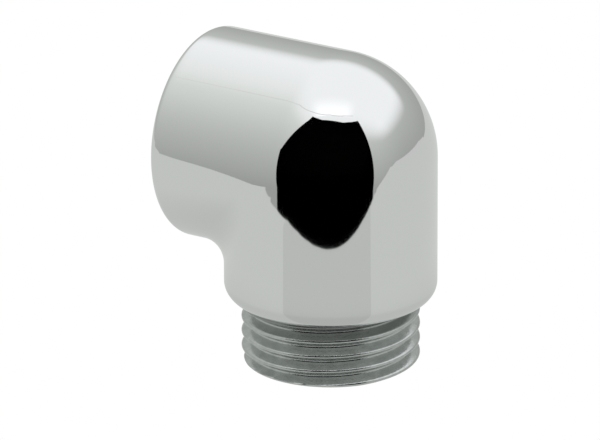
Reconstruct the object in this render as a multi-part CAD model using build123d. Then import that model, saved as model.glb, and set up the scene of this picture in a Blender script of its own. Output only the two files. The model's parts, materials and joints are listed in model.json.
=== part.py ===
from build123d import *
from math import radians, tan
import os

# Chrome elbow with a concealed 15 mm compression inlet and a non-return cartridge.
# Millimetres. The leg stands on +Z with the end of its thread at z = 0. The arm points along -X.
# Pieces of the arm are turned about +Z and then laid on the arm, so their heights are
# distances from the leg's axis.

# Skin of the elbow
SKIN_R = 12.5
BEND_Z = 25.0
ARM_REACH = 17.2
MOUTH_ROUND = 0.9
SHOULDER_ROUND = 2.0

# Outlet thread: G 1/2, 14 turns to the inch, 55 degree flanks
OUTLET_MAJOR_R = 20.955 / 2
OUTLET_PITCH = 1.814
OUTLET_DEPTH = 1.162
OUTLET_LENGTH = 7.7
OUTLET_CHAMFER = 0.6
OUTLET_FLANK_DEG = 27.5
GROOVE_OVER = 0.1
GROOVE_START_DEG = -72
STUB_SUNK = 1.0

# Waterways and tube socket
WATER_R = 5.5
BEND_CAVITY_R = 6.5
TUBE_R = 7.5
SOCKET_R = TUBE_R + 0.05
TUBE_STOP = 5.5
CONE_START = 7.6
CONE_R = 8.75
CONE_HALF_DEG = 30

# Concealed gland: a fine 20 x 1 thread
GLAND_PITCH = 1.0
GLAND_START_DEG = 13
GLAND_MAJOR_R = 10.0
GLAND_MINOR_R = 9.46
GLAND_THREAD_START = 12.3
GLAND_RELIEF = 1.1
GLAND_RELIEF_R = 10.2
TAP_SKIM = 0.1
MOUTH_LEAD = 0.7
MOUTH_LEAD_R = 10.2
NUT_MAJOR_R = 9.85
NUT_ROOT_R = 9.36
NUT_BORE_R = 7.62
FLANK_GAP = 0.07
FLANK_DEG = 30
RIDGE_SUNK = 0.16
ROOT_HALF = 0.375 * GLAND_PITCH
NUT_BACK = 13.5
NUT_FACE = 16.9
NUT_BACK_EDGE = 0.3
NUT_FACE_EDGE = 0.2
NUT_BORE_EDGE = 0.4
NUT_SLOTS = 6
SLOT_WIDTH = 2.2
SLOT_DEPTH = 1.3
THRUST_THICK = 0.9
THRUST_R = 9.2
THRUST_EDGE = 0.15
THRUST_LIP = 0.35
OLIVE_R = 8.62
OLIVE_END_R = 8.0
OLIVE_BORE_R = 7.56
OLIVE_LENGTH = 3.9
ARM_GAP = 0.06

# Cartridge chamber in the leg
CHAMBER_R = 7.0
CHAMBER_TOP = 15.0
CHAMBER_LEAD = 0.6
RING_GROOVE_R = 7.7
RING_GROOVE_LOW = 2.3
RING_GROOVE_HIGH = 3.4

# Cartridge
HOUSING_R = 6.9
HOUSING_LOW = 3.5
HOUSING_TOP = 14.0
HOUSING_BORE_R = 5.2
HOUSING_EDGE = 0.3
SEAT_R = 4.1
SEAT_LOW = 12.2
SEAT_EDGE = 0.5
SEAT_MOUTH = 0.6
SEAT_SHOULDER = 0.4
GUIDE_R = 5.55
GUIDE_THICK = 1.4
GUIDE_GAP = 0.05
GUIDE_RIM = 0.8
GUIDE_ARMS = 3
GUIDE_ARM_WIDTH = 1.1
HUB_WALL = 0.7
HUB_RISE = 1.6
STEM_R = 1.0
STEM_GAP = 0.08
STEM_EDGE = 0.2
STEM_LOW = 4.5
POPPET_R = 4.5
POPPET_LOW = 10.9
POPPET_THICK = 0.9
NOSE_R = 3.0
NOSE_HEIGHT = 2.0
SEAL_THICK = 0.7
SEAL_EDGE = 0.25
SPRING_R = 2.5
SPRING_WIRE_R = 0.25
SPRING_TURNS = 5
SPRING_GAP = 0.02
CORD_R = 0.48
O_RING_LOW = 11.2
O_RING_GROOVE = 2.6 * CORD_R
O_RING_NIP = 0.02
STRAINER_THICK = 0.3
DOME_R = 5.3
DOME_HEIGHT = 2.6
DOME_LAP = 0.35
GASKET_THICK = 0.5
STRAINER_GAP = 0.1
HOLE_ROWS = 4
HOLE_STEP = 1.25
HOLE_LOW = 0.6
STRAINER_HOLE_R = 0.42

# Retaining ring
CLIP_GAP = 0.1
CLIP_WIDTH = 1.0
CLIP_OPENING = 5.0
CLIP_LUG_R = 0.95
CLIP_HOLE_R = 0.4
CLIP_LUG_SIDE = 3.2
CLIP_LUG_IN = 0.45
CLIP_HOLE_IN = 0.6


def turned(*points):
    """A piece turned about Z from its half section, given as (radius, height) corners."""
    section = make_face(Polyline(*[(r, 0, z) for r, z in points], close=True))
    return revolve(section, Axis.Z)


def ring(inner, outer, low, high):
    """A plain ring about Z."""
    return turned((inner, low), (outer, low), (outer, high), (inner, high))


def rod(radius, low, high):
    """A plain round bar on Z."""
    return Pos(0, 0, low) * Cylinder(radius, high - low, align=(Align.CENTER, Align.CENTER, Align.MIN))


def on_arm(shape):
    """Lays a shape that was made about +Z on the arm, its height becoming distance along -X."""
    return Plane(origin=(0, 0, BEND_Z), x_dir=(0, 1, 0), z_dir=(-1, 0, 0)) * shape


def helical_bar(pitch, low, high, start_deg, inner, inner_half, outer, outer_half):
    """A right-handed helical bar of trapezoid section, half widths given at two radii."""
    path = Helix(pitch, high - low, (inner + outer) / 2)
    middle = (inner + outer) / 2
    section = Plane(origin=path @ 0, x_dir=(1, 0, 0), z_dir=path % 0) * make_face(
        Polyline(
            (inner - middle, -inner_half),
            (outer - middle, -outer_half),
            (outer - middle, outer_half),
            (inner - middle, inner_half),
            close=True,
        )
    )
    bar = sweep(section, path=path, is_frenet=True)
    return Pos(0, 0, low) * Rot(0, 0, start_deg) * bar


def outlet_groove():
    """Screw-shaped tool that leaves the G 1/2 thread on the leg's stub."""
    slope = tan(radians(OUTLET_FLANK_DEG))
    flat_half = (OUTLET_PITCH / 2 - OUTLET_DEPTH * slope) / 2
    groove = helical_bar(
        OUTLET_PITCH,
        -2 * OUTLET_PITCH,
        OUTLET_LENGTH + OUTLET_PITCH,
        GROOVE_START_DEG,
        OUTLET_MAJOR_R - OUTLET_DEPTH,
        flat_half,
        OUTLET_MAJOR_R + GROOVE_OVER,
        flat_half + (OUTLET_DEPTH + GROOVE_OVER) * slope,
    )
    return groove & rod(OUTLET_MAJOR_R + 1, -1, OUTLET_LENGTH)


def gland_ridge(low, high, root_r, major_r, root_half):
    """Ridge of the gland's thread, half as wide as given at the root and a little sunk into it."""
    slope = tan(radians(FLANK_DEG))
    return helical_bar(
        GLAND_PITCH,
        low,
        high,
        GLAND_START_DEG,
        root_r - RIDGE_SUNK,
        root_half + RIDGE_SUNK * slope,
        major_r,
        root_half - (major_r - root_r) * slope,
    )


def gland_tap():
    """Screw-shaped tool that leaves the gland's thread in the arm's mouth."""
    low = GLAND_THREAD_START - GLAND_PITCH
    ridge = gland_ridge(low, ARM_REACH + GLAND_PITCH, GLAND_MINOR_R, GLAND_MAJOR_R, ROOT_HALF)
    length = (GLAND_THREAD_START - MOUTH_LEAD / 2, ARM_REACH + 2 * MOUTH_LEAD)
    return rod(GLAND_MINOR_R, *length) + (ridge & rod(GLAND_MAJOR_R + 1, *length))


def elbow_skin():
    """Leg, arm and round outer corner as one solid, with its edges rounded and its stub plain."""
    leg = rod(SKIN_R, OUTLET_LENGTH, BEND_Z)
    arm = on_arm(rod(SKIN_R, 0, ARM_REACH))
    corner = Pos(0, 0, BEND_Z) * Sphere(SKIN_R)
    skin = leg + corner + arm
    mouth_edge = skin.edges().filter_by(GeomType.CIRCLE).sort_by(Axis.X)[0]
    skin = fillet(mouth_edge, MOUTH_ROUND)
    shoulder_edge = skin.edges().filter_by(GeomType.CIRCLE).sort_by(Axis.Z)[0]
    skin = fillet(shoulder_edge, SHOULDER_ROUND)
    stub = turned(
        (0, 0),
        (OUTLET_MAJOR_R - OUTLET_CHAMFER, 0),
        (OUTLET_MAJOR_R, OUTLET_CHAMFER),
        (OUTLET_MAJOR_R, OUTLET_LENGTH + STUB_SUNK),
        (0, OUTLET_LENGTH + STUB_SUNK),
    )
    return skin + stub


def elbow_body():
    """Plated brass elbow: skin, outlet thread, waterways, socket, cone and gland thread."""
    chamber = turned(
        (0, -1),
        (CHAMBER_R + CHAMBER_LEAD + 1, -1),
        (CHAMBER_R, CHAMBER_LEAD),
        (CHAMBER_R, RING_GROOVE_LOW),
        (RING_GROOVE_R, RING_GROOVE_LOW),
        (RING_GROOVE_R, RING_GROOVE_HIGH),
        (CHAMBER_R, RING_GROOVE_HIGH),
        (CHAMBER_R, CHAMBER_TOP),
        (WATER_R, CHAMBER_TOP),
        (WATER_R, BEND_Z),
        (0, BEND_Z),
    )
    cone_end = CONE_START + (CONE_R - SOCKET_R) / tan(radians(CONE_HALF_DEG))
    relief_low = GLAND_THREAD_START - GLAND_RELIEF
    inlet = turned(
        (0, 0),
        (WATER_R, 0),
        (WATER_R, TUBE_STOP),
        (SOCKET_R, TUBE_STOP),
        (SOCKET_R, CONE_START),
        (CONE_R, cone_end),
        (CONE_R, relief_low),
        (GLAND_RELIEF_R, relief_low),
        (GLAND_RELIEF_R, GLAND_THREAD_START),
        (GLAND_MINOR_R - TAP_SKIM, GLAND_THREAD_START + 0.5),
        (GLAND_MINOR_R - TAP_SKIM, ARM_REACH - MOUTH_LEAD),
        (MOUTH_LEAD_R, ARM_REACH),
        (MOUTH_LEAD_R, ARM_REACH + 1),
        (0, ARM_REACH + 1),
    )
    cavity = Pos(0, 0, BEND_Z) * Sphere(BEND_CAVITY_R)
    body = elbow_skin() - chamber - cavity - on_arm(inlet)
    return body - outlet_groove() - on_arm(gland_tap())


def gland_nut():
    """Brass gland screwed into the mouth, turned by a castellated key in its slots."""
    blank = turned(
        (NUT_BORE_R, NUT_BACK),
        (NUT_ROOT_R - NUT_BACK_EDGE, NUT_BACK),
        (NUT_ROOT_R, NUT_BACK + NUT_BACK_EDGE),
        (NUT_ROOT_R, NUT_FACE - NUT_FACE_EDGE),
        (NUT_ROOT_R - NUT_FACE_EDGE, NUT_FACE),
        (NUT_BORE_R + NUT_BORE_EDGE, NUT_FACE),
        (NUT_BORE_R, NUT_FACE - NUT_BORE_EDGE),
    )
    root_half = ROOT_HALF - FLANK_GAP + (GLAND_MINOR_R - NUT_ROOT_R) * tan(radians(FLANK_DEG))
    low = GLAND_THREAD_START + 2 * GLAND_PITCH
    nut = blank + gland_ridge(low, low + 2 * GLAND_PITCH, NUT_ROOT_R, NUT_MAJOR_R, root_half)
    slot = Pos(0, 0, NUT_FACE - SLOT_DEPTH / 2 + 0.5) * Box(3 * NUT_MAJOR_R, SLOT_WIDTH, SLOT_DEPTH + 1)
    for step in range(NUT_SLOTS // 2):
        nut -= Rot(0, 0, step * 360 / NUT_SLOTS) * slot
    return on_arm(nut)


def thrust_ring():
    """Slip ring between gland and olive, so that the turning gland doesn't drag the olive."""
    low = NUT_BACK - ARM_GAP - THRUST_THICK
    high = NUT_BACK - ARM_GAP
    return on_arm(
        turned(
            (NUT_BORE_R + THRUST_LIP, low),
            (THRUST_R - THRUST_EDGE, low),
            (THRUST_R, low + THRUST_EDGE),
            (THRUST_R, high - THRUST_EDGE),
            (THRUST_R - THRUST_EDGE, high),
            (NUT_BORE_R, high),
            (NUT_BORE_R, low + THRUST_LIP),
        )
    )


def olive():
    """Barrel-shaped brass compression ring with a cone at each end."""
    high = NUT_BACK - 2 * ARM_GAP - THRUST_THICK
    low = high - OLIVE_LENGTH
    taper = (OLIVE_R - OLIVE_END_R) / tan(radians(CONE_HALF_DEG))
    return on_arm(
        turned(
            (OLIVE_BORE_R, low),
            (OLIVE_END_R, low),
            (OLIVE_R, low + taper),
            (OLIVE_R, high - taper),
            (OLIVE_END_R, high),
            (OLIVE_BORE_R, high),
        )
    )


def strainer_gasket():
    """Rubber ring that seals the strainer's rim to the chamber's shoulder."""
    return ring(WATER_R + STRAINER_GAP, HOUSING_R, CHAMBER_TOP - GASKET_THICK, CHAMBER_TOP)


def strainer_holes():
    """Upright pins that pierce the dome: one in the middle and rings of six, twelve and eighteen."""
    pin = rod(STRAINER_HOLE_R, HOUSING_TOP + HOLE_LOW, HOUSING_TOP + DOME_HEIGHT + 1)
    pins = [pin]
    for row in range(1, HOLE_ROWS):
        for step in range(6 * row):
            pins.append(Rot(0, 0, step * 60 / row) * Pos(row * HOLE_STEP, 0, 0) * pin)
    return pins


def strainer():
    """Domed stainless mesh with a flat rim, upstream of the valve."""
    outer_r = (DOME_R**2 + DOME_HEIGHT**2) / (2 * DOME_HEIGHT)
    centre = Pos(0, 0, HOUSING_TOP + DOME_HEIGHT - outer_r)
    shell = centre * Sphere(outer_r) - centre * Sphere(outer_r - STRAINER_THICK)
    dome = shell & rod(DOME_R, HOUSING_TOP, HOUSING_TOP + DOME_HEIGHT + 1)
    mesh = dome + ring(DOME_R - DOME_LAP, HOUSING_R, HOUSING_TOP, CHAMBER_TOP - GASKET_THICK)
    for pin in strainer_holes():
        mesh -= pin
    return mesh


def valve_housing():
    """Moulded cartridge body with its seat above and its O-ring groove outside."""
    groove_high = O_RING_LOW + O_RING_GROOVE
    groove_r = CHAMBER_R - 2 * (CORD_R + O_RING_NIP)
    clip_top = HOUSING_LOW + GUIDE_THICK + GUIDE_GAP
    return turned(
        (GUIDE_R + GUIDE_GAP, HOUSING_LOW),
        (HOUSING_R - HOUSING_EDGE, HOUSING_LOW),
        (HOUSING_R, HOUSING_LOW + HOUSING_EDGE),
        (HOUSING_R, O_RING_LOW),
        (groove_r, O_RING_LOW),
        (groove_r, groove_high),
        (HOUSING_R, groove_high),
        (HOUSING_R, HOUSING_TOP),
        (SEAT_R + SEAT_MOUTH, HOUSING_TOP),
        (SEAT_R, HOUSING_TOP - SEAT_MOUTH),
        (SEAT_R, SEAT_LOW + SEAT_EDGE),
        (SEAT_R + SEAT_EDGE, SEAT_LOW),
        (HOUSING_BORE_R, SEAT_LOW - SEAT_SHOULDER),
        (HOUSING_BORE_R, clip_top),
        (GUIDE_R + GUIDE_GAP, clip_top),
    )


def housing_o_ring():
    """Rubber O-ring that seals the cartridge in its chamber, drawn as squeezed in place."""
    middle = (CHAMBER_R - CORD_R - O_RING_NIP, O_RING_LOW + O_RING_GROOVE / 2)
    return revolve(Plane.XZ * Pos(*middle) * Circle(CORD_R), Axis.Z)


def spring_guide():
    """Spider clipped in below: its hub guides the stem and its arms carry the spring."""
    low = HOUSING_LOW
    high = HOUSING_LOW + GUIDE_THICK
    hub = rod(STEM_R + HUB_WALL, low, high + HUB_RISE)
    guide = ring(GUIDE_R - GUIDE_RIM, GUIDE_R, low, high) + hub
    length = GUIDE_R - GUIDE_RIM / 2
    arm = Pos(length / 2, 0, (low + high) / 2) * Box(length, GUIDE_ARM_WIDTH, GUIDE_THICK)
    for step in range(GUIDE_ARMS):
        guide += Rot(0, 0, step * 360 / GUIDE_ARMS) * arm
    return guide - rod(STEM_R + STEM_GAP, low - 1, high + 2 * HUB_RISE)


def valve_spring():
    """Stainless compression spring from the spider's arms to the poppet."""
    low = HOUSING_LOW + GUIDE_THICK + SPRING_WIRE_R + SPRING_GAP
    high = POPPET_LOW - SPRING_WIRE_R - SPRING_GAP
    path = Helix((high - low) / SPRING_TURNS, high - low, SPRING_R)
    section = Plane(origin=path @ 0, x_dir=(1, 0, 0), z_dir=path % 0) * Circle(SPRING_WIRE_R)
    return Pos(0, 0, low) * sweep(section, path=path, is_frenet=True)


def poppet():
    """Moulded poppet: a disc with a rounded nose and a stem that slides in the spider."""
    top = POPPET_LOW + POPPET_THICK
    return turned(
        (0, STEM_LOW),
        (STEM_R - STEM_EDGE, STEM_LOW),
        (STEM_R, STEM_LOW + STEM_EDGE),
        (STEM_R, POPPET_LOW),
        (POPPET_R, POPPET_LOW),
        (POPPET_R, top),
        (NOSE_R, top),
        (NOSE_R, top + 0.4 * NOSE_HEIGHT),
        (0.77 * NOSE_R, top + 0.75 * NOSE_HEIGHT),
        (0.4 * NOSE_R, top + 0.95 * NOSE_HEIGHT),
        (0, top + NOSE_HEIGHT),
    )


def poppet_seal():
    """Rubber face ring that closes on the seat."""
    low = POPPET_LOW + POPPET_THICK
    return turned(
        (NOSE_R, low),
        (POPPET_R, low),
        (POPPET_R, low + SEAL_EDGE),
        (SEAT_R - STEM_EDGE, low + SEAL_THICK),
        (NOSE_R, low + SEAL_THICK),
    )


def retaining_ring():
    """Spring steel ring snapped into the groove under the cartridge, open on one side."""
    inner = CHAMBER_R - CLIP_GAP - CLIP_WIDTH
    low = RING_GROOVE_LOW + CLIP_GAP
    high = RING_GROOVE_HIGH - CLIP_GAP
    band = ring(inner, RING_GROOVE_R - CLIP_GAP, low, high)
    middle = (low + high) / 2
    clip = band - Pos(-CHAMBER_R, 0, middle) * Box(CLIP_OPENING, CLIP_OPENING, 2 * (high - low))
    for side in (-CLIP_LUG_SIDE, CLIP_LUG_SIDE):
        clip += Pos(CLIP_LUG_IN - inner, side, middle) * Cylinder(CLIP_LUG_R, high - low)
        clip -= Pos(CLIP_HOLE_IN - inner, side, middle) * Cylinder(CLIP_HOLE_R, 2 * (high - low))
    return clip


PIECES = {
    "elbow_body": elbow_body,
    "gland_nut": gland_nut,
    "thrust_ring": thrust_ring,
    "olive": olive,
    "strainer_gasket": strainer_gasket,
    "strainer": strainer,
    "valve_housing": valve_housing,
    "housing_o_ring": housing_o_ring,
    "spring_guide": spring_guide,
    "valve_spring": valve_spring,
    "poppet": poppet,
    "poppet_seal": poppet_seal,
    "retaining_ring": retaining_ring,
}

os.makedirs("parts", exist_ok=True)
for node, make in PIECES.items():
    export_step(make(), f"parts/{node}.step")
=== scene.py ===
import json
from math import cos, pi, radians, sin, tan

import bpy
import numpy as np
from mathutils import Matrix, Vector


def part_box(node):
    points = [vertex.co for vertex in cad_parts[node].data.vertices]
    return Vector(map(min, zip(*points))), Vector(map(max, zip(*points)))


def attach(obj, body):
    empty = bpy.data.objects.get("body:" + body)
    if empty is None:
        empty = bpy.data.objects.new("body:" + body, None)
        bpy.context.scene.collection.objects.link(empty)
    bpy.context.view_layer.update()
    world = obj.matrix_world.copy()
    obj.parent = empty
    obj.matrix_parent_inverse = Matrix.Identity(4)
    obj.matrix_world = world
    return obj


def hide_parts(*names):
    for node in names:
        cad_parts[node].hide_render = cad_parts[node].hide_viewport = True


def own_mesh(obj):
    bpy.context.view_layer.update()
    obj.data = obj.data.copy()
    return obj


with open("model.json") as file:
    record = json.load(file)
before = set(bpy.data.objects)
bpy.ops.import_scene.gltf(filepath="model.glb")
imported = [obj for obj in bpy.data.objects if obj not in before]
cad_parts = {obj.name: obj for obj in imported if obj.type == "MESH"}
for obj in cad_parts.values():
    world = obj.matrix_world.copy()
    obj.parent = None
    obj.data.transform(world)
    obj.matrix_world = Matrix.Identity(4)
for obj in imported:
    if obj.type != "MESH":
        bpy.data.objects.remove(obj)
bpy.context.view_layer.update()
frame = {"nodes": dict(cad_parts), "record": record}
scene = bpy.context.scene
scene.view_settings.view_transform = "Standard"

# Elbow body: one brass forging, bored and threaded, then polished and chrome plated outside.
# Leg, arm and outer corner are one smooth round. The mesh is one closed tube of rings, from the
# mouth over the skin to the outlet thread, and back through the leg and the tube socket.
MM = 0.001
COLUMNS = 192

low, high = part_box("elbow_body")
mount = {m["name"]: m for m in frame["record"]["mounts"]}
skin_r = high.y
bend_z = high.z - skin_r
reach = -low.x
corner_blend = 2.8 * MM
mouth_round = 0.9 * MM
shoulder_round = 2.0 * MM
outlet_r = mount["outlet_thread"]["dims"]["r_mm"] * MM
outlet_length = mount["outlet_thread"]["dims"]["length_mm"] * MM
outlet_pitch = 1.814 * MM
outlet_depth, outlet_start_deg = 1.162 * MM, 17
outlet_wall = 1.1 * MM
end_chamfer = 0.35 * MM
water_r = 5.5 * MM
chamber_r, chamber_top, chamber_lead = 7.0 * MM, 15.0 * MM, 0.6 * MM
clip_groove_r, clip_groove_low, clip_groove_high = 7.7 * MM, 2.3 * MM, 3.4 * MM
socket_r = mount["tube_socket"]["dims"]["r_mm"] * MM
socket_start, cone_start = 5.5 * MM, 7.6 * MM
cone_r, cone_slope = 8.75 * MM, radians(30)
relief_r, relief_start, thread_start = 10.2 * MM, 11.2 * MM, 12.3 * MM
gland_pitch, gland_start_deg = 1.0 * MM, 257
gland_minor_r, gland_major_r = 9.46 * MM, 10.0 * MM

turn = np.arange(COLUMNS) * 2 * pi / COLUMNS  # 0 faces the inside of the bend
COS, SIN = np.cos(turn), np.sin(turn)
OUTLET_THREAD, GLAND_THREAD = 1, 2


def leg_ring(radius, height):
    """Ring round the leg. Radius and height may be one number or one for each column."""
    return np.stack([-radius * COS, radius * SIN, height + 0 * COS], 1)


def arm_ring(radius, distance):
    """Ring round the arm at a distance from the leg's axis."""
    return np.stack([-distance + 0 * COS, radius * SIN, bend_z - radius * COS], 1)


def bend_rings(radius, blend_length, steps, arm_from, leg_to, straight):
    """Rings from the arm, round the bend, to the leg. The crotch is blended over a length that
    stays the same toward the sides, as polishing leaves it, so its radius grows there."""
    inside = COS > 0
    least_cos = 0.04
    fillet = blend_length / np.maximum(COS, least_cos)
    from_axis = radius + fillet
    centre = np.stack([-from_axis * COS, from_axis * SIN, bend_z - from_axis * COS], 1)
    to_arm = np.stack([0 * COS, -SIN, COS], 1)
    to_leg = np.stack([COS, -SIN, 0 * COS], 1)
    spread = np.arccos(np.clip(SIN**2, -1, 1))
    is_flat = spread < 1e-6
    divisor = np.where(is_flat, 1, np.sin(spread))
    reach_in = np.where(inside, from_axis * COS, 0)
    rings = []
    for t in np.linspace(0, 1, straight)[:-1]:
        rings.append(arm_ring(radius, arm_from + (reach_in - arm_from) * t))
    for t in np.linspace(0, 1, steps):
        angle = t * pi / 2
        sideways, upright = -radius * COS * sin(angle), radius * COS * cos(angle)
        outer = np.stack([sideways, radius * SIN, bend_z - upright], 1)
        arm_share = np.where(is_flat, 1 - t, np.sin((1 - t) * spread) / divisor)[:, None]
        leg_share = np.where(is_flat, t, np.sin(t * spread) / divisor)[:, None]
        inner = centre + fillet[:, None] * (arm_share * to_arm + leg_share * to_leg)
        rings.append(np.where(inside[:, None], inner, outer))
    for t in np.linspace(0, 1, straight)[1:]:
        top = bend_z - reach_in
        rings.append(leg_ring(radius, top + (leg_to - top) * t))
    return rings


def arc(centre, radius, start_deg, end_deg, steps):
    """Points (r, h) of an arc in a half section."""
    return [
        (centre[0] + radius * cos(radians(a)), centre[1] + radius * sin(radians(a)))
        for a in np.linspace(start_deg, end_deg, steps)
    ]


tube_rings, thread_of, bare_of = [], [], []


def add(new, thread=0, bare=0.0):
    """Appends rings to the tube, with the thread they belong to and how bare of plating they are."""
    tube_rings.extend(new)
    thread_of.extend([thread] * len(new))
    bare_of.extend([bare] * len(new))


# Outside: mouth edge, arm, bend, leg and shoulder.
add([arm_ring(r, reach) for r in np.linspace(relief_r, skin_r - mouth_round, 4)])
edge = arc((skin_r - mouth_round, reach - mouth_round), mouth_round, 90, 0, 12)
add([arm_ring(r, h) for r, h in edge[1:]])
shoulder_top = outlet_length + shoulder_round
add(bend_rings(skin_r, corner_blend, 40, reach - mouth_round, shoulder_top, 26)[1:])
edge = arc((skin_r - shoulder_round, shoulder_top), shoulder_round, 0, -90, 20)
add([leg_ring(r, h) for r, h in edge[1:]])
# Outlet thread, down to the end face, then up the inside of the leg.
shoulder_gap = 1e-6
climb = np.linspace(outlet_length - shoulder_gap, 0, 112)
add([leg_ring(outlet_r, h) for h in climb], OUTLET_THREAD)
add([leg_ring(r, 0) for r in (outlet_r - outlet_wall, chamber_r + chamber_lead)])
inside_leg = [
    (chamber_r, chamber_lead),
    (chamber_r, clip_groove_low),
    (clip_groove_r, clip_groove_low),
    (clip_groove_r, clip_groove_high),
    (chamber_r, clip_groove_high),
    (chamber_r, chamber_top),
    (water_r, chamber_top),
]
add([leg_ring(r, h) for r, h in inside_leg], bare=1.0)
# Waterway round the bend, from leg to arm, then the tube socket, its cone and the gland's thread.
add(bend_rings(water_r, 0.2 * MM, 16, socket_start, chamber_top, 6)[::-1][1:], bare=1.0)
inside_arm = [
    (socket_r, socket_start),
    (socket_r, cone_start),
    (cone_r, cone_start + (cone_r - socket_r) / tan(cone_slope)),
    (cone_r, relief_start),
    (relief_r, relief_start),
    (relief_r, thread_start),
]
add([arm_ring(r, h) for r, h in inside_arm], bare=1.0)
add([arm_ring(gland_major_r, h) for h in np.linspace(thread_start, reach, 100)], GLAND_THREAD, 1.0)

verts = np.concatenate(tube_rings)
count = len(tube_rings)
ring_no, col_no = np.meshgrid(np.arange(count), np.arange(COLUMNS), indexing="ij")
next_ring, next_col = (ring_no + 1) % count, (col_no + 1) % COLUMNS
quads = np.stack(
    [
        ring_no * COLUMNS + col_no,
        ring_no * COLUMNS + next_col,
        next_ring * COLUMNS + next_col,
        next_ring * COLUMNS + col_no,
    ],
    -1,
).reshape(-1, 4)

body_mesh = bpy.data.meshes.new("elbow_body_skin")
body_mesh.from_pydata(verts.tolist(), [], quads.tolist())
thread_mark = body_mesh.attributes.new("thread", "INT", "POINT")
thread_mark.data.foreach_set("value", np.repeat(thread_of, COLUMNS))
for label, values in (("cut", np.array(thread_of) == OUTLET_THREAD), ("bare", bare_of)):
    made = body_mesh.attributes.new(label, "FLOAT", "POINT")
    made.data.foreach_set("value", np.repeat(np.array(values, dtype=float), COLUMNS))
elbow = bpy.data.objects.new("polished_elbow", body_mesh)
scene.collection.objects.link(elbow)


class Sum:
    """A socket or number in a node tree, so that maths is written as an expression."""

    tree = None

    def __init__(self, value):
        self.value = value

    @staticmethod
    def node(kind, settings=None, inputs=None, output=0):
        """Any node: its settings first, then values or links for its sockets."""
        made = Sum.tree.nodes.new(kind)
        for key, value in (settings or {}).items():
            setattr(made, key, value)
        for key, value in (inputs or {}).items():
            value = value.value if isinstance(value, Sum) else value
            if isinstance(value, bpy.types.NodeSocket):
                Sum.tree.links.new(value, made.inputs[key])
            else:
                made.inputs[key].default_value = value
        return Sum(made.outputs[output])

    @staticmethod
    def math(operation, *terms):
        return Sum.node("ShaderNodeMath", {"operation": operation}, dict(enumerate(terms)))

    def __add__(self, other):
        return Sum.math("ADD", self, other)

    def __sub__(self, other):
        return Sum.math("SUBTRACT", self, other)

    def __mul__(self, other):
        return Sum.math("MULTIPLY", self, other)

    def __truediv__(self, other):
        return Sum.math("DIVIDE", self, other)

    def __gt__(self, other):
        return Sum.math("GREATER_THAN", self, other)

    def __lt__(self, other):
        return Sum.math("LESS_THAN", self, other)

    def __radd__(self, other):
        return Sum.math("ADD", other, self)

    def __rsub__(self, other):
        return Sum.math("SUBTRACT", other, self)

    def __rmul__(self, other):
        return Sum.math("MULTIPLY", other, self)

    def __rtruediv__(self, other):
        return Sum.math("DIVIDE", other, self)


def geometry_tree(name, inputs):
    """A new modifier tree with named inputs, each (name, socket type, default)."""
    tree = bpy.data.node_groups.new(name, "GeometryNodeTree")
    tree.interface.new_socket("Geometry", in_out="INPUT", socket_type="NodeSocketGeometry")
    for label, kind, default in inputs:
        made = tree.interface.new_socket(label, in_out="INPUT", socket_type=kind)
        if default is not None:
            made.default_value = default
    tree.interface.new_socket("Geometry", in_out="OUTPUT", socket_type="NodeSocketGeometry")
    Sum.tree = tree
    source = tree.nodes.new("NodeGroupInput")
    return tree, {s.name: Sum(s) for s in source.outputs if s.name}


def close_tree(tree, geometry, material):
    """Ends a tree in Realize Instances and Set Material."""
    real = Sum.node("GeometryNodeRealizeInstances", {}, {"Geometry": geometry})
    dressed = Sum.node("GeometryNodeSetMaterial", {}, {"Geometry": real, "Material": material})
    sink = tree.nodes.new("NodeGroupOutput")
    tree.links.new(dressed.value, sink.inputs["Geometry"])


def run_tree(piece, tree, **values):
    """Runs a tree on a piece with its named inputs set, and leaves a plain mesh."""
    modifier = piece.modifiers.new(tree.name, "NODES")
    modifier.node_group = tree
    for item in tree.interface.items_tree:
        if item.item_type == "SOCKET" and item.in_out == "INPUT" and item.name in values:
            modifier[item.identifier] = values[item.name]
    bpy.context.view_layer.update()
    depsgraph = bpy.context.evaluated_depsgraph_get()
    seen = piece.evaluated_get(depsgraph)
    mesh = bpy.data.meshes.new_from_object(seen, preserve_all_data_layers=True, depsgraph=depsgraph)
    piece.modifiers.remove(modifier)
    old = piece.data
    piece.data = mesh
    bpy.data.meshes.remove(old)


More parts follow.
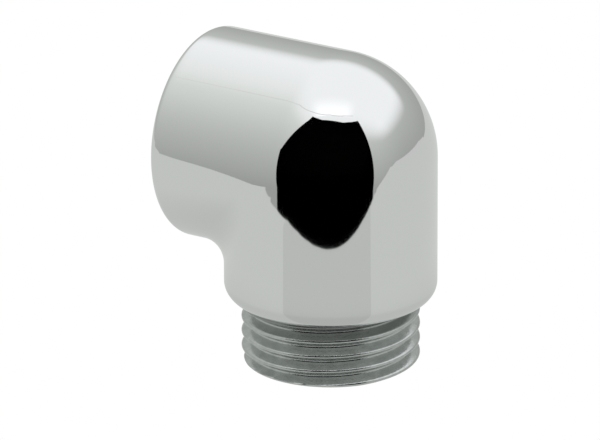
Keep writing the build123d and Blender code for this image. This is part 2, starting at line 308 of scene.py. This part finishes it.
def thread_cutter():
    """Sinks a right-handed groove into a round surface. A point's depth depends on its distance
    along the axis less its share of a turn: crests and roots are arcs, flanks straight."""
    tree, given = geometry_tree(
        "thread_cutter",
        [
            ("Mark", "NodeSocketInt", 1),
            ("Along Arm", "NodeSocketFloat", 0.0),
            ("Centre Height", "NodeSocketFloat", 0.0),
            ("Pitch", "NodeSocketFloat", 0.001),
            ("Depth", "NodeSocketFloat", 0.0005),
            ("Arc Radius", "NodeSocketFloat", 0.0001),
            ("Flank Degrees", "NodeSocketFloat", 30.0),
            ("Crest Place", "NodeSocketFloat", 0.0),
            ("Chamfer Place", "NodeSocketFloat", 0.0),
            ("Chamfer Radius", "NodeSocketFloat", 1.0),
            ("Material", "NodeSocketMaterial", None),
        ],
    )
    position = Sum.node("GeometryNodeInputPosition")
    x, y, z = (Sum.node("ShaderNodeSeparateXYZ", {}, {0: position}, output=axis) for axis in "XYZ")
    arm, pitch, depth = given["Along Arm"], given["Pitch"], given["Depth"]
    height = z - given["Centre Height"]
    across = x * (1 - arm) + height * arm
    distance = z * (1 - arm) - x * arm
    radius = Sum.math("SQRT", across * across + y * y)
    share = Sum.math("ARCTAN2", y, across) / (2 * pi)
    phase = (distance - given["Crest Place"]) / pitch - share
    off_crest = Sum.math("ABSOLUTE", Sum.math("WRAP", phase, 0.5, -0.5)) * pitch
    near = Sum.math("MINIMUM", off_crest, pitch / 2 - off_crest)
    flank = Sum.math("RADIANS", given["Flank Degrees"])
    round_r = given["Arc Radius"]
    arc_half = round_r * Sum.math("COSINE", flank)
    on_arc = near < arc_half
    bow = round_r - Sum.math("SQRT", Sum.math("MAXIMUM", round_r * round_r - near * near, 0.0))
    flank_start = round_r - round_r * Sum.math("SINE", flank)
    slope = flank_start + (near - arc_half) / Sum.math("TANGENT", flank)
    drop = bow * on_arc + slope * (1 - on_arc)
    crest_side = off_crest < pitch / 4
    sunk = drop * crest_side + (depth - drop) * (1 - crest_side)
    chamfered = given["Chamfer Radius"] + Sum.math("ABSOLUTE", distance - given["Chamfer Place"])
    new_radius = Sum.math("MINIMUM", radius - sunk, chamfered)
    scale = new_radius / radius
    new_x = x * (1 - arm) * scale + x * arm
    new_z = z * (1 - arm) + (given["Centre Height"] + height * scale) * arm
    moved = Sum.node("ShaderNodeCombineXYZ", {}, {0: new_x, 1: y * scale, 2: new_z})
    mark = Sum.node("GeometryNodeInputNamedAttribute", {"data_type": "INT"}, {"Name": "thread"})
    equal = {"data_type": "INT", "operation": "EQUAL"}
    chosen = Sum.node("FunctionNodeCompare", equal, {2: mark, 3: given["Mark"]})
    moves = {"Geometry": given["Geometry"], "Selection": chosen, "Position": moved}
    close_tree(tree, Sum.node("GeometryNodeSetPosition", {}, moves), given["Material"])
    return tree


def principled(name, color, roughness, metallic):
    """A material with its constant values on the shader's own sockets."""
    made = bpy.data.materials.new(name)
    made.use_nodes = True
    Sum.tree = made.node_tree
    shader = made.node_tree.nodes["Principled BSDF"]
    shader.inputs["Base Color"].default_value = (*color, 1)
    shader.inputs["Roughness"].default_value = roughness
    shader.inputs["Metallic"].default_value = metallic
    return made, shader


def noise(scale):
    """Noise in the piece's own space, scale in features per metre, from 0 to 1."""
    place = Sum.node("ShaderNodeTexCoord", output="Object")
    return Sum.node("ShaderNodeTexNoise", {}, {"Vector": place, "Scale": scale, "Detail": 3.0})


def plug(shader, label, value):
    """Links a value to a shader's socket."""
    Sum.tree.links.new(value.value, shader.inputs[label])


def bump(shader, height, depth):
    """Raises the surface by height times depth, depth in metres."""
    relief = {"Height": height, "Strength": 1.0, "Distance": depth}
    plug(shader, "Normal", Sum.node("ShaderNodeBump", {}, relief))


def blend(share, first, second):
    """Colour that goes from first to second with share. Each is three numbers or a socket."""
    first, second = (c if isinstance(c, Sum) else (*c, 1) for c in (first, second))
    return Sum.node("ShaderNodeMix", {"data_type": "RGBA"}, {0: share, 6: first, 7: second}, output=2)


def fade(value, start, end):
    """Smooth step from 0 at start to 1 at end."""
    settings = {"interpolation_type": "SMOOTHSTEP"}
    return Sum.node("ShaderNodeMapRange", settings, {0: value, 1: start, 2: end})


def attribute(name):
    """A mark that the mesh carries at its points."""
    return Sum.node("ShaderNodeAttribute", {"attribute_name": name}, output="Fac")


chrome_color, chrome_roughness = (0.78, 0.785, 0.78), 0.03
chrome, chrome_shader = principled("polished_chrome", chrome_color, chrome_roughness, 1.0)
on_thread, on_bare = attribute("cut"), attribute("bare")
stain = noise(900.0)
place = Sum.node("ShaderNodeTexCoord", output="Object")
height = Sum.node("ShaderNodeSeparateXYZ", {}, {0: place}, output="Z")
# Painted shade: the top of the outlet thread, just under the shoulder, is blended up to six tenths of
# the way to near black, its lower edge made ragged by the stain noise.
wander = 1.2 * MM
painted_shoulder_shade = fade(height + wander * stain, outlet_length - wander, outlet_length + 0.4 * MM)
# The outlet thread's colour is darker than the chrome and patchy with the stain noise: partly worn,
# rougher plating, partly painted shade for the darkness between the crests.
worn_and_shaded_thread = blend(stain, (0.42, 0.44, 0.43), (0.68, 0.70, 0.69))
shaded_thread = blend(0.6 * painted_shoulder_shade, worn_and_shaded_thread, (0.1, 0.1, 0.09))
bare_brass = blend(stain, (0.66, 0.50, 0.27), (0.78, 0.62, 0.34))
plug(chrome_shader, "Base Color", blend(on_bare, blend(on_thread, chrome_color, shaded_thread), bare_brass))
worn_roughness = on_thread * (0.1 + 0.14 * stain) + on_bare * 0.25
plug(chrome_shader, "Roughness", chrome_roughness + worn_roughness)
bump(chrome_shader, noise(4000.0) * on_thread, 0.02 * MM)
cutter = thread_cutter()
run_tree(
    elbow,
    cutter,
    **{
        "Mark": OUTLET_THREAD,
        "Pitch": outlet_pitch,
        "Depth": outlet_depth,
        "Arc Radius": 0.137329 * outlet_pitch,
        "Flank Degrees": 27.5,
        "Crest Place": outlet_length + outlet_pitch * outlet_start_deg / 360,
        "Chamfer Place": 0.0,
        "Chamfer Radius": outlet_r - end_chamfer,
        "Material": chrome,
    },
)
run_tree(
    elbow,
    cutter,
    **{
        "Mark": GLAND_THREAD,
        "Along Arm": 1.0,
        "Centre Height": bend_z,
        "Pitch": gland_pitch,
        "Depth": gland_major_r - gland_minor_r,
        "Arc Radius": 0.1 * gland_pitch,
        "Flank Degrees": 30.0,
        "Crest Place": thread_start + gland_pitch * gland_start_deg / 360,
        "Chamfer Radius": 1.0,
        "Material": chrome,
    },
)
for face in elbow.data.polygons:
    face.use_smooth = True
elbow.data.set_sharp_from_angle(angle=radians(35))
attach(elbow, "elbow")
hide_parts("elbow_body")

# Inner pieces: turned brass rings and gland, moulded cartridge, rubber seals, steel strainer and
# clip. Each keeps its CAD shape and takes the finish of its trade.
def grained(name, color, roughness, metallic, scale, depth, spread=0.15):
    """A finish whose colour and roughness wander a little, with a fine grain."""
    made, shader = principled(name, color, roughness, metallic)
    grain = noise(scale)
    dark = tuple(c * (1 - spread) for c in color)
    plug(shader, "Base Color", blend(grain, dark, color))
    plug(shader, "Roughness", roughness * (0.75 + 0.5 * grain))
    bump(shader, grain, depth)
    return made


fine_grain = 0.01 * MM
finishes = {
    "brass": grained("turned_brass", (0.83, 0.62, 0.30), 0.26, 1.0, 2500.0, fine_grain),
    "nickel_brass": grained("nickel_plate", (0.74, 0.71, 0.65), 0.2, 1.0, 2000.0, fine_grain),
    "stainless_mesh": grained("stainless", (0.62, 0.62, 0.62), 0.3, 1.0, 3000.0, fine_grain),
    "spring_steel": grained("spring_steel", (0.42, 0.43, 0.45), 0.3, 1.0, 3000.0, fine_grain),
    "seal_rubber": grained("black_rubber", (0.022, 0.022, 0.023), 0.6, 0.0, 4000.0, 3 * fine_grain, 0.4),
    "cartridge_plastic": grained("acetal", (0.74, 0.75, 0.73), 0.42, 0.0, 1500.0, fine_grain, 0.05),
    "poppet_plastic": grained("grey_acetal", (0.22, 0.30, 0.40), 0.4, 0.0, 1500.0, fine_grain, 0.05),
}
for subpart in frame["record"]["subparts"]:
    for held in frame["nodes"][subpart["node"]].material_slots:
        held.material = finishes.get(subpart["material_slot"], chrome)

# Valve spring: hard-drawn stainless wire coiled right-handed, its end turns closed and lying flat.
# It stands on the guide's arms; in use it shortens as the poppet opens, but here it is built at one
# length and fixed to the elbow.
spring_low, spring_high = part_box("valve_spring")
spring_length = spring_high.z - spring_low.z
wire_r = 0.25 * MM
coil_r = 2.5 * MM


def coil_tree():
    tree, given = geometry_tree(
        "wire_coil",
        [
            ("Turns", "NodeSocketFloat", 5.0),
            ("Coil Radius", "NodeSocketFloat", 0.0025),
            ("Wire Radius", "NodeSocketFloat", 0.00025),
            ("Height", "NodeSocketFloat", 0.005),
            ("Material", "NodeSocketMaterial", None),
        ],
    )
    line = Sum.node("GeometryNodeCurvePrimitiveLine")
    fine = Sum.node("GeometryNodeResampleCurve", {}, {"Curve": line, "Count": 481})
    share = Sum.node("GeometryNodeSplineParameter")
    wound = share * given["Turns"] * (2 * pi)
    closed_turns = 0.12
    climb = closed_turns * share + (1 - closed_turns) * fade(share, 0.1, 0.9)
    place = Sum.node(
        "ShaderNodeCombineXYZ",
        {},
        {
            0: given["Coil Radius"] * Sum.math("COSINE", wound),
            1: given["Coil Radius"] * Sum.math("SINE", wound),
            2: given["Height"] * climb,
        },
    )
    coiled = Sum.node("GeometryNodeSetPosition", {}, {"Geometry": fine, "Position": place})
    section = {"Resolution": 20, "Radius": given["Wire Radius"]}
    round_wire = Sum.node("GeometryNodeCurvePrimitiveCircle", {}, section)
    sweep = {"Curve": coiled, "Profile Curve": round_wire, "Fill Caps": True}
    wire = Sum.node("GeometryNodeCurveToMesh", {}, sweep)
    smooth = Sum.node("GeometryNodeSetShadeSmooth", {}, {"Geometry": wire})
    close_tree(tree, smooth, given["Material"])
    return tree


spring = bpy.data.objects.new("coil_spring", bpy.data.meshes.new("coil_spring"))
scene.collection.objects.link(spring)
run_tree(
    spring,
    coil_tree(),
    **{
        "Turns": 7.0,
        "Coil Radius": coil_r,
        "Wire Radius": wire_r,
        "Height": spring_length - 2 * wire_r,
        "Material": finishes["spring_steel"],
    },
)
spring.data.transform(Matrix.Translation((0, 0, spring_low.z + wire_r)))
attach(spring, "elbow")
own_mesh(spring)
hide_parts("valve_spring")

# Shooting table: the fitting stands on its thread end in a white tent. A diffuser hangs overhead,
# a lamp shines through its front edge, and the tent's open front shows as a black room.
camera_turn, camera_rise, camera_roll = radians(32.64), radians(20.34), radians(-0.177)
camera_away, camera_lens = 0.9, 462.834
aim_right, aim_up = 3.565 * MM, 2.789 * MM
aim_height = Vector((0, 0, 0.02))
toward = Vector((sin(camera_turn), -cos(camera_turn), 0))
beside = Vector((cos(camera_turn), sin(camera_turn), 0))
back = toward * cos(camera_rise) + Vector((0, 0, sin(camera_rise)))
level_up = back.cross(beside)
right = beside * cos(camera_roll) + level_up * sin(camera_roll)
up = level_up * cos(camera_roll) - beside * sin(camera_roll)
camera = bpy.data.objects.new("camera", bpy.data.cameras.new("camera"))
scene.collection.objects.link(camera)
camera.data.sensor_width = 36
camera.data.lens = camera_lens
camera.location = aim_height + back * camera_away - right * aim_right - up * aim_up
camera.rotation_mode = "QUATERNION"
camera.rotation_quaternion = Matrix((right, up, back)).transposed().to_quaternion()
camera.data.clip_end = 10
scene.camera = camera


def tinted(level, tint):
    """A colour of one tint, scaled to a level."""
    return Sum.node("ShaderNodeVectorMath", {"operation": "SCALE"}, {0: tint, "Scale": level})


def glow(name, level, tint=(1, 1, 1), painted_foot_shadow=0.0):
    """A shadeless card of one brightness, darkened close round the leg by a painted contact shadow of
    the given depth.
    """
    made = bpy.data.materials.new(name)
    made.use_nodes = True
    Sum.tree = made.node_tree
    made.node_tree.nodes.clear()
    place = Sum.node("ShaderNodeTexCoord", output="Object")
    from_leg = Sum.node("ShaderNodeVectorMath", {"operation": "LENGTH"}, {0: place}, output="Value")
    shown = level - painted_foot_shadow * fade(from_leg, 0.045, 0.02)
    light = Sum.node("ShaderNodeEmission", {}, {"Color": tinted(shown, tint), "Strength": 1.0})
    sink = made.node_tree.nodes.new("ShaderNodeOutputMaterial")
    made.node_tree.links.new(light.value, sink.inputs["Surface"])
    return made


def studio_card(name, points, *look):
    """A flat or bent card of the tent that only the chrome sees."""
    mesh = bpy.data.meshes.new(name)
    mesh.from_pydata(points, [], [list(range(len(points)))])
    mesh.materials.append(glow(name, *look))
    made = bpy.data.objects.new(name, mesh)
    scene.collection.objects.link(made)
    for kind in ("camera", "diffuse", "shadow", "transmission"):
        setattr(made, "visible_" + kind, False)


def tent_card(name, corners, level, away=1.4, fine=10):
    """A card on the tent's round wall. Corners are degrees aside from the camera, and risen."""
    points = []
    for start, end in zip(corners, corners[1:] + corners[:1]):
        for step in range(fine):
            aside, risen = (radians(a + (b - a) * step / fine) for a, b in zip(start, end))
            flat = toward * cos(aside) + beside * sin(aside)
            points.append((flat * cos(risen) + Vector((0, 0, sin(risen)))) * away + aim_height)
    studio_card(name, points, level)


def floor_card(name, corners, level, below):
    """A card on the table. Corners are millimetres right of the leg and toward the camera."""
    points = [(beside * a + toward * b - Vector((0, 0, below))) * MM for a, b in corners]
    # Table cards carry a painted contact shadow, 0.08 deep, round the leg.
    studio_card(name, points, level, (0.99, 1.02, 0.99), 0.08)


def facing(direction, axis):
    """How far a direction points along an axis."""
    product = {"operation": "DOT_PRODUCT"}
    return Sum.node("ShaderNodeVectorMath", product, {0: direction, 1: axis}, output="Value")


world = bpy.data.worlds.new("white_tent")
scene.world = world
world.use_nodes = True
Sum.tree = world.node_tree
world.node_tree.nodes.clear()
look = Sum.node("ShaderNodeTexCoord", output="Generated")
rise = facing(look, (0, 0, 1))
horizon = 0.05
above = Sum.math("MAXIMUM", rise, horizon)
over_right = facing(look, tuple(beside)) / above
over_front = facing(look, tuple(toward)) / above
far_right = facing(look, tuple(beside * 0.7 - toward * 0.7))
wall_level = 0.5 + 0.25 * rise + 0.27 * rise * rise * rise - 0.07 * fade(far_right, 0.1, 0.8)
diffuser = (
    fade(over_right, -0.85, -0.2)
    * fade(over_right, 2.4, 1.2)
    * fade(over_front, -1.8, -0.95)
    * fade(over_front, 1.3, 0.3)
    * (rise > horizon)
)
lamp = (
    fade(over_right, -0.42, -0.15)
    * fade(over_right, 0.5, 0.25)
    * fade(over_front, 0.0, 0.45)
    * (over_front < 0.5)
    * (rise > horizon)
)
wall = tinted(wall_level, (0.985, 1.02, 0.985))
lit = tinted(1.1 + 0.25 * lamp, (0.985, 1.0, 1.02))
in_chrome = Sum.node("ShaderNodeLightPath", output="Is Glossy Ray")
sky = blend(in_chrome, (1, 1, 1), blend(diffuser, wall, lit))
shade = Sum.node("ShaderNodeBackground", {}, {"Color": sky, "Strength": 1.0})
world_sink = world.node_tree.nodes.new("ShaderNodeOutputWorld")
world.node_tree.links.new(shade.value, world_sink.inputs["Surface"])

room = [(-60, -60), (-59, 17), (-46, 43), (-36, 59.3), (11, 55.6), (47, 51.2), (45, -60)]
tent_card("dark_room", room, 0.0)
sweep_level = 0.672
sweep = [(66, -3), (74, 0.8), (97, 1.5), (112, 1.4), (124, -1), (124, -3)]
tent_card("rising_sweep", sweep, sweep_level)
seam_width = 0.8
seam = [(-110, 44.7), (-96, 55.2), (-78, 61.4), (-41, 64), (-1, 64.6), (30, 61.3), (45, 58)]
under_seam = [(aside, risen - seam_width) for aside, risen in seam[::-1]]
tent_card("seam", seam + under_seam, 0.78, away=1.3)

# The white paper on the table ends in a rounded front edge, between a long left and right side.
edge_middle, edge_half, edge_low, edge_rise, edge_power = 10, 80, 9.58, 51.81, 2.5
front_edge = []
for aside in range(-60, 49, 12):
    bend = abs((aside - edge_middle) / edge_half) ** edge_power
    front_edge.append((aside, edge_low + edge_rise * (1 - bend) ** (1 / edge_power)))
left_side = [(-640, 218), (-214, 82), (-165, 68), (-121, 51), (-96, 44), (-66, 34.2)]
right_side = [(58, 56.3), (110, 79), (640, 292)]
far_corners = [(640, -1200), (-640, -1200)]
floor_card("white_sweep", left_side + front_edge + right_side + far_corners, sweep_level, 0.3)
floor_card("shaded_sweep", [(-6, 11), (-50, 45), *front_edge[1:], (5, 11)], 0.6, 0.2)

floor_mesh = bpy.data.meshes.new("floor")
half = 3.0
floor_corners = [(-half, -half, 0), (half, -half, 0), (half, half, 0), (-half, half, 0)]
floor_mesh.from_pydata(floor_corners, [], [(0, 1, 2, 3)])
floor_mesh.materials.append(glow("white_table", 1.0))
floor = bpy.data.objects.new("floor", floor_mesh)
scene.collection.objects.link(floor)
floor.visible_glossy = False

soft_box = bpy.data.objects.new("soft_box", bpy.data.lights.new("soft_box", "AREA"))
scene.collection.objects.link(soft_box)
soft_box.data.shape = "DISK"
soft_box.data.size = 0.8
soft_box.data.energy = 4.0
soft_box.location = (0, 0, 1.0)
soft_box.visible_glossy = False
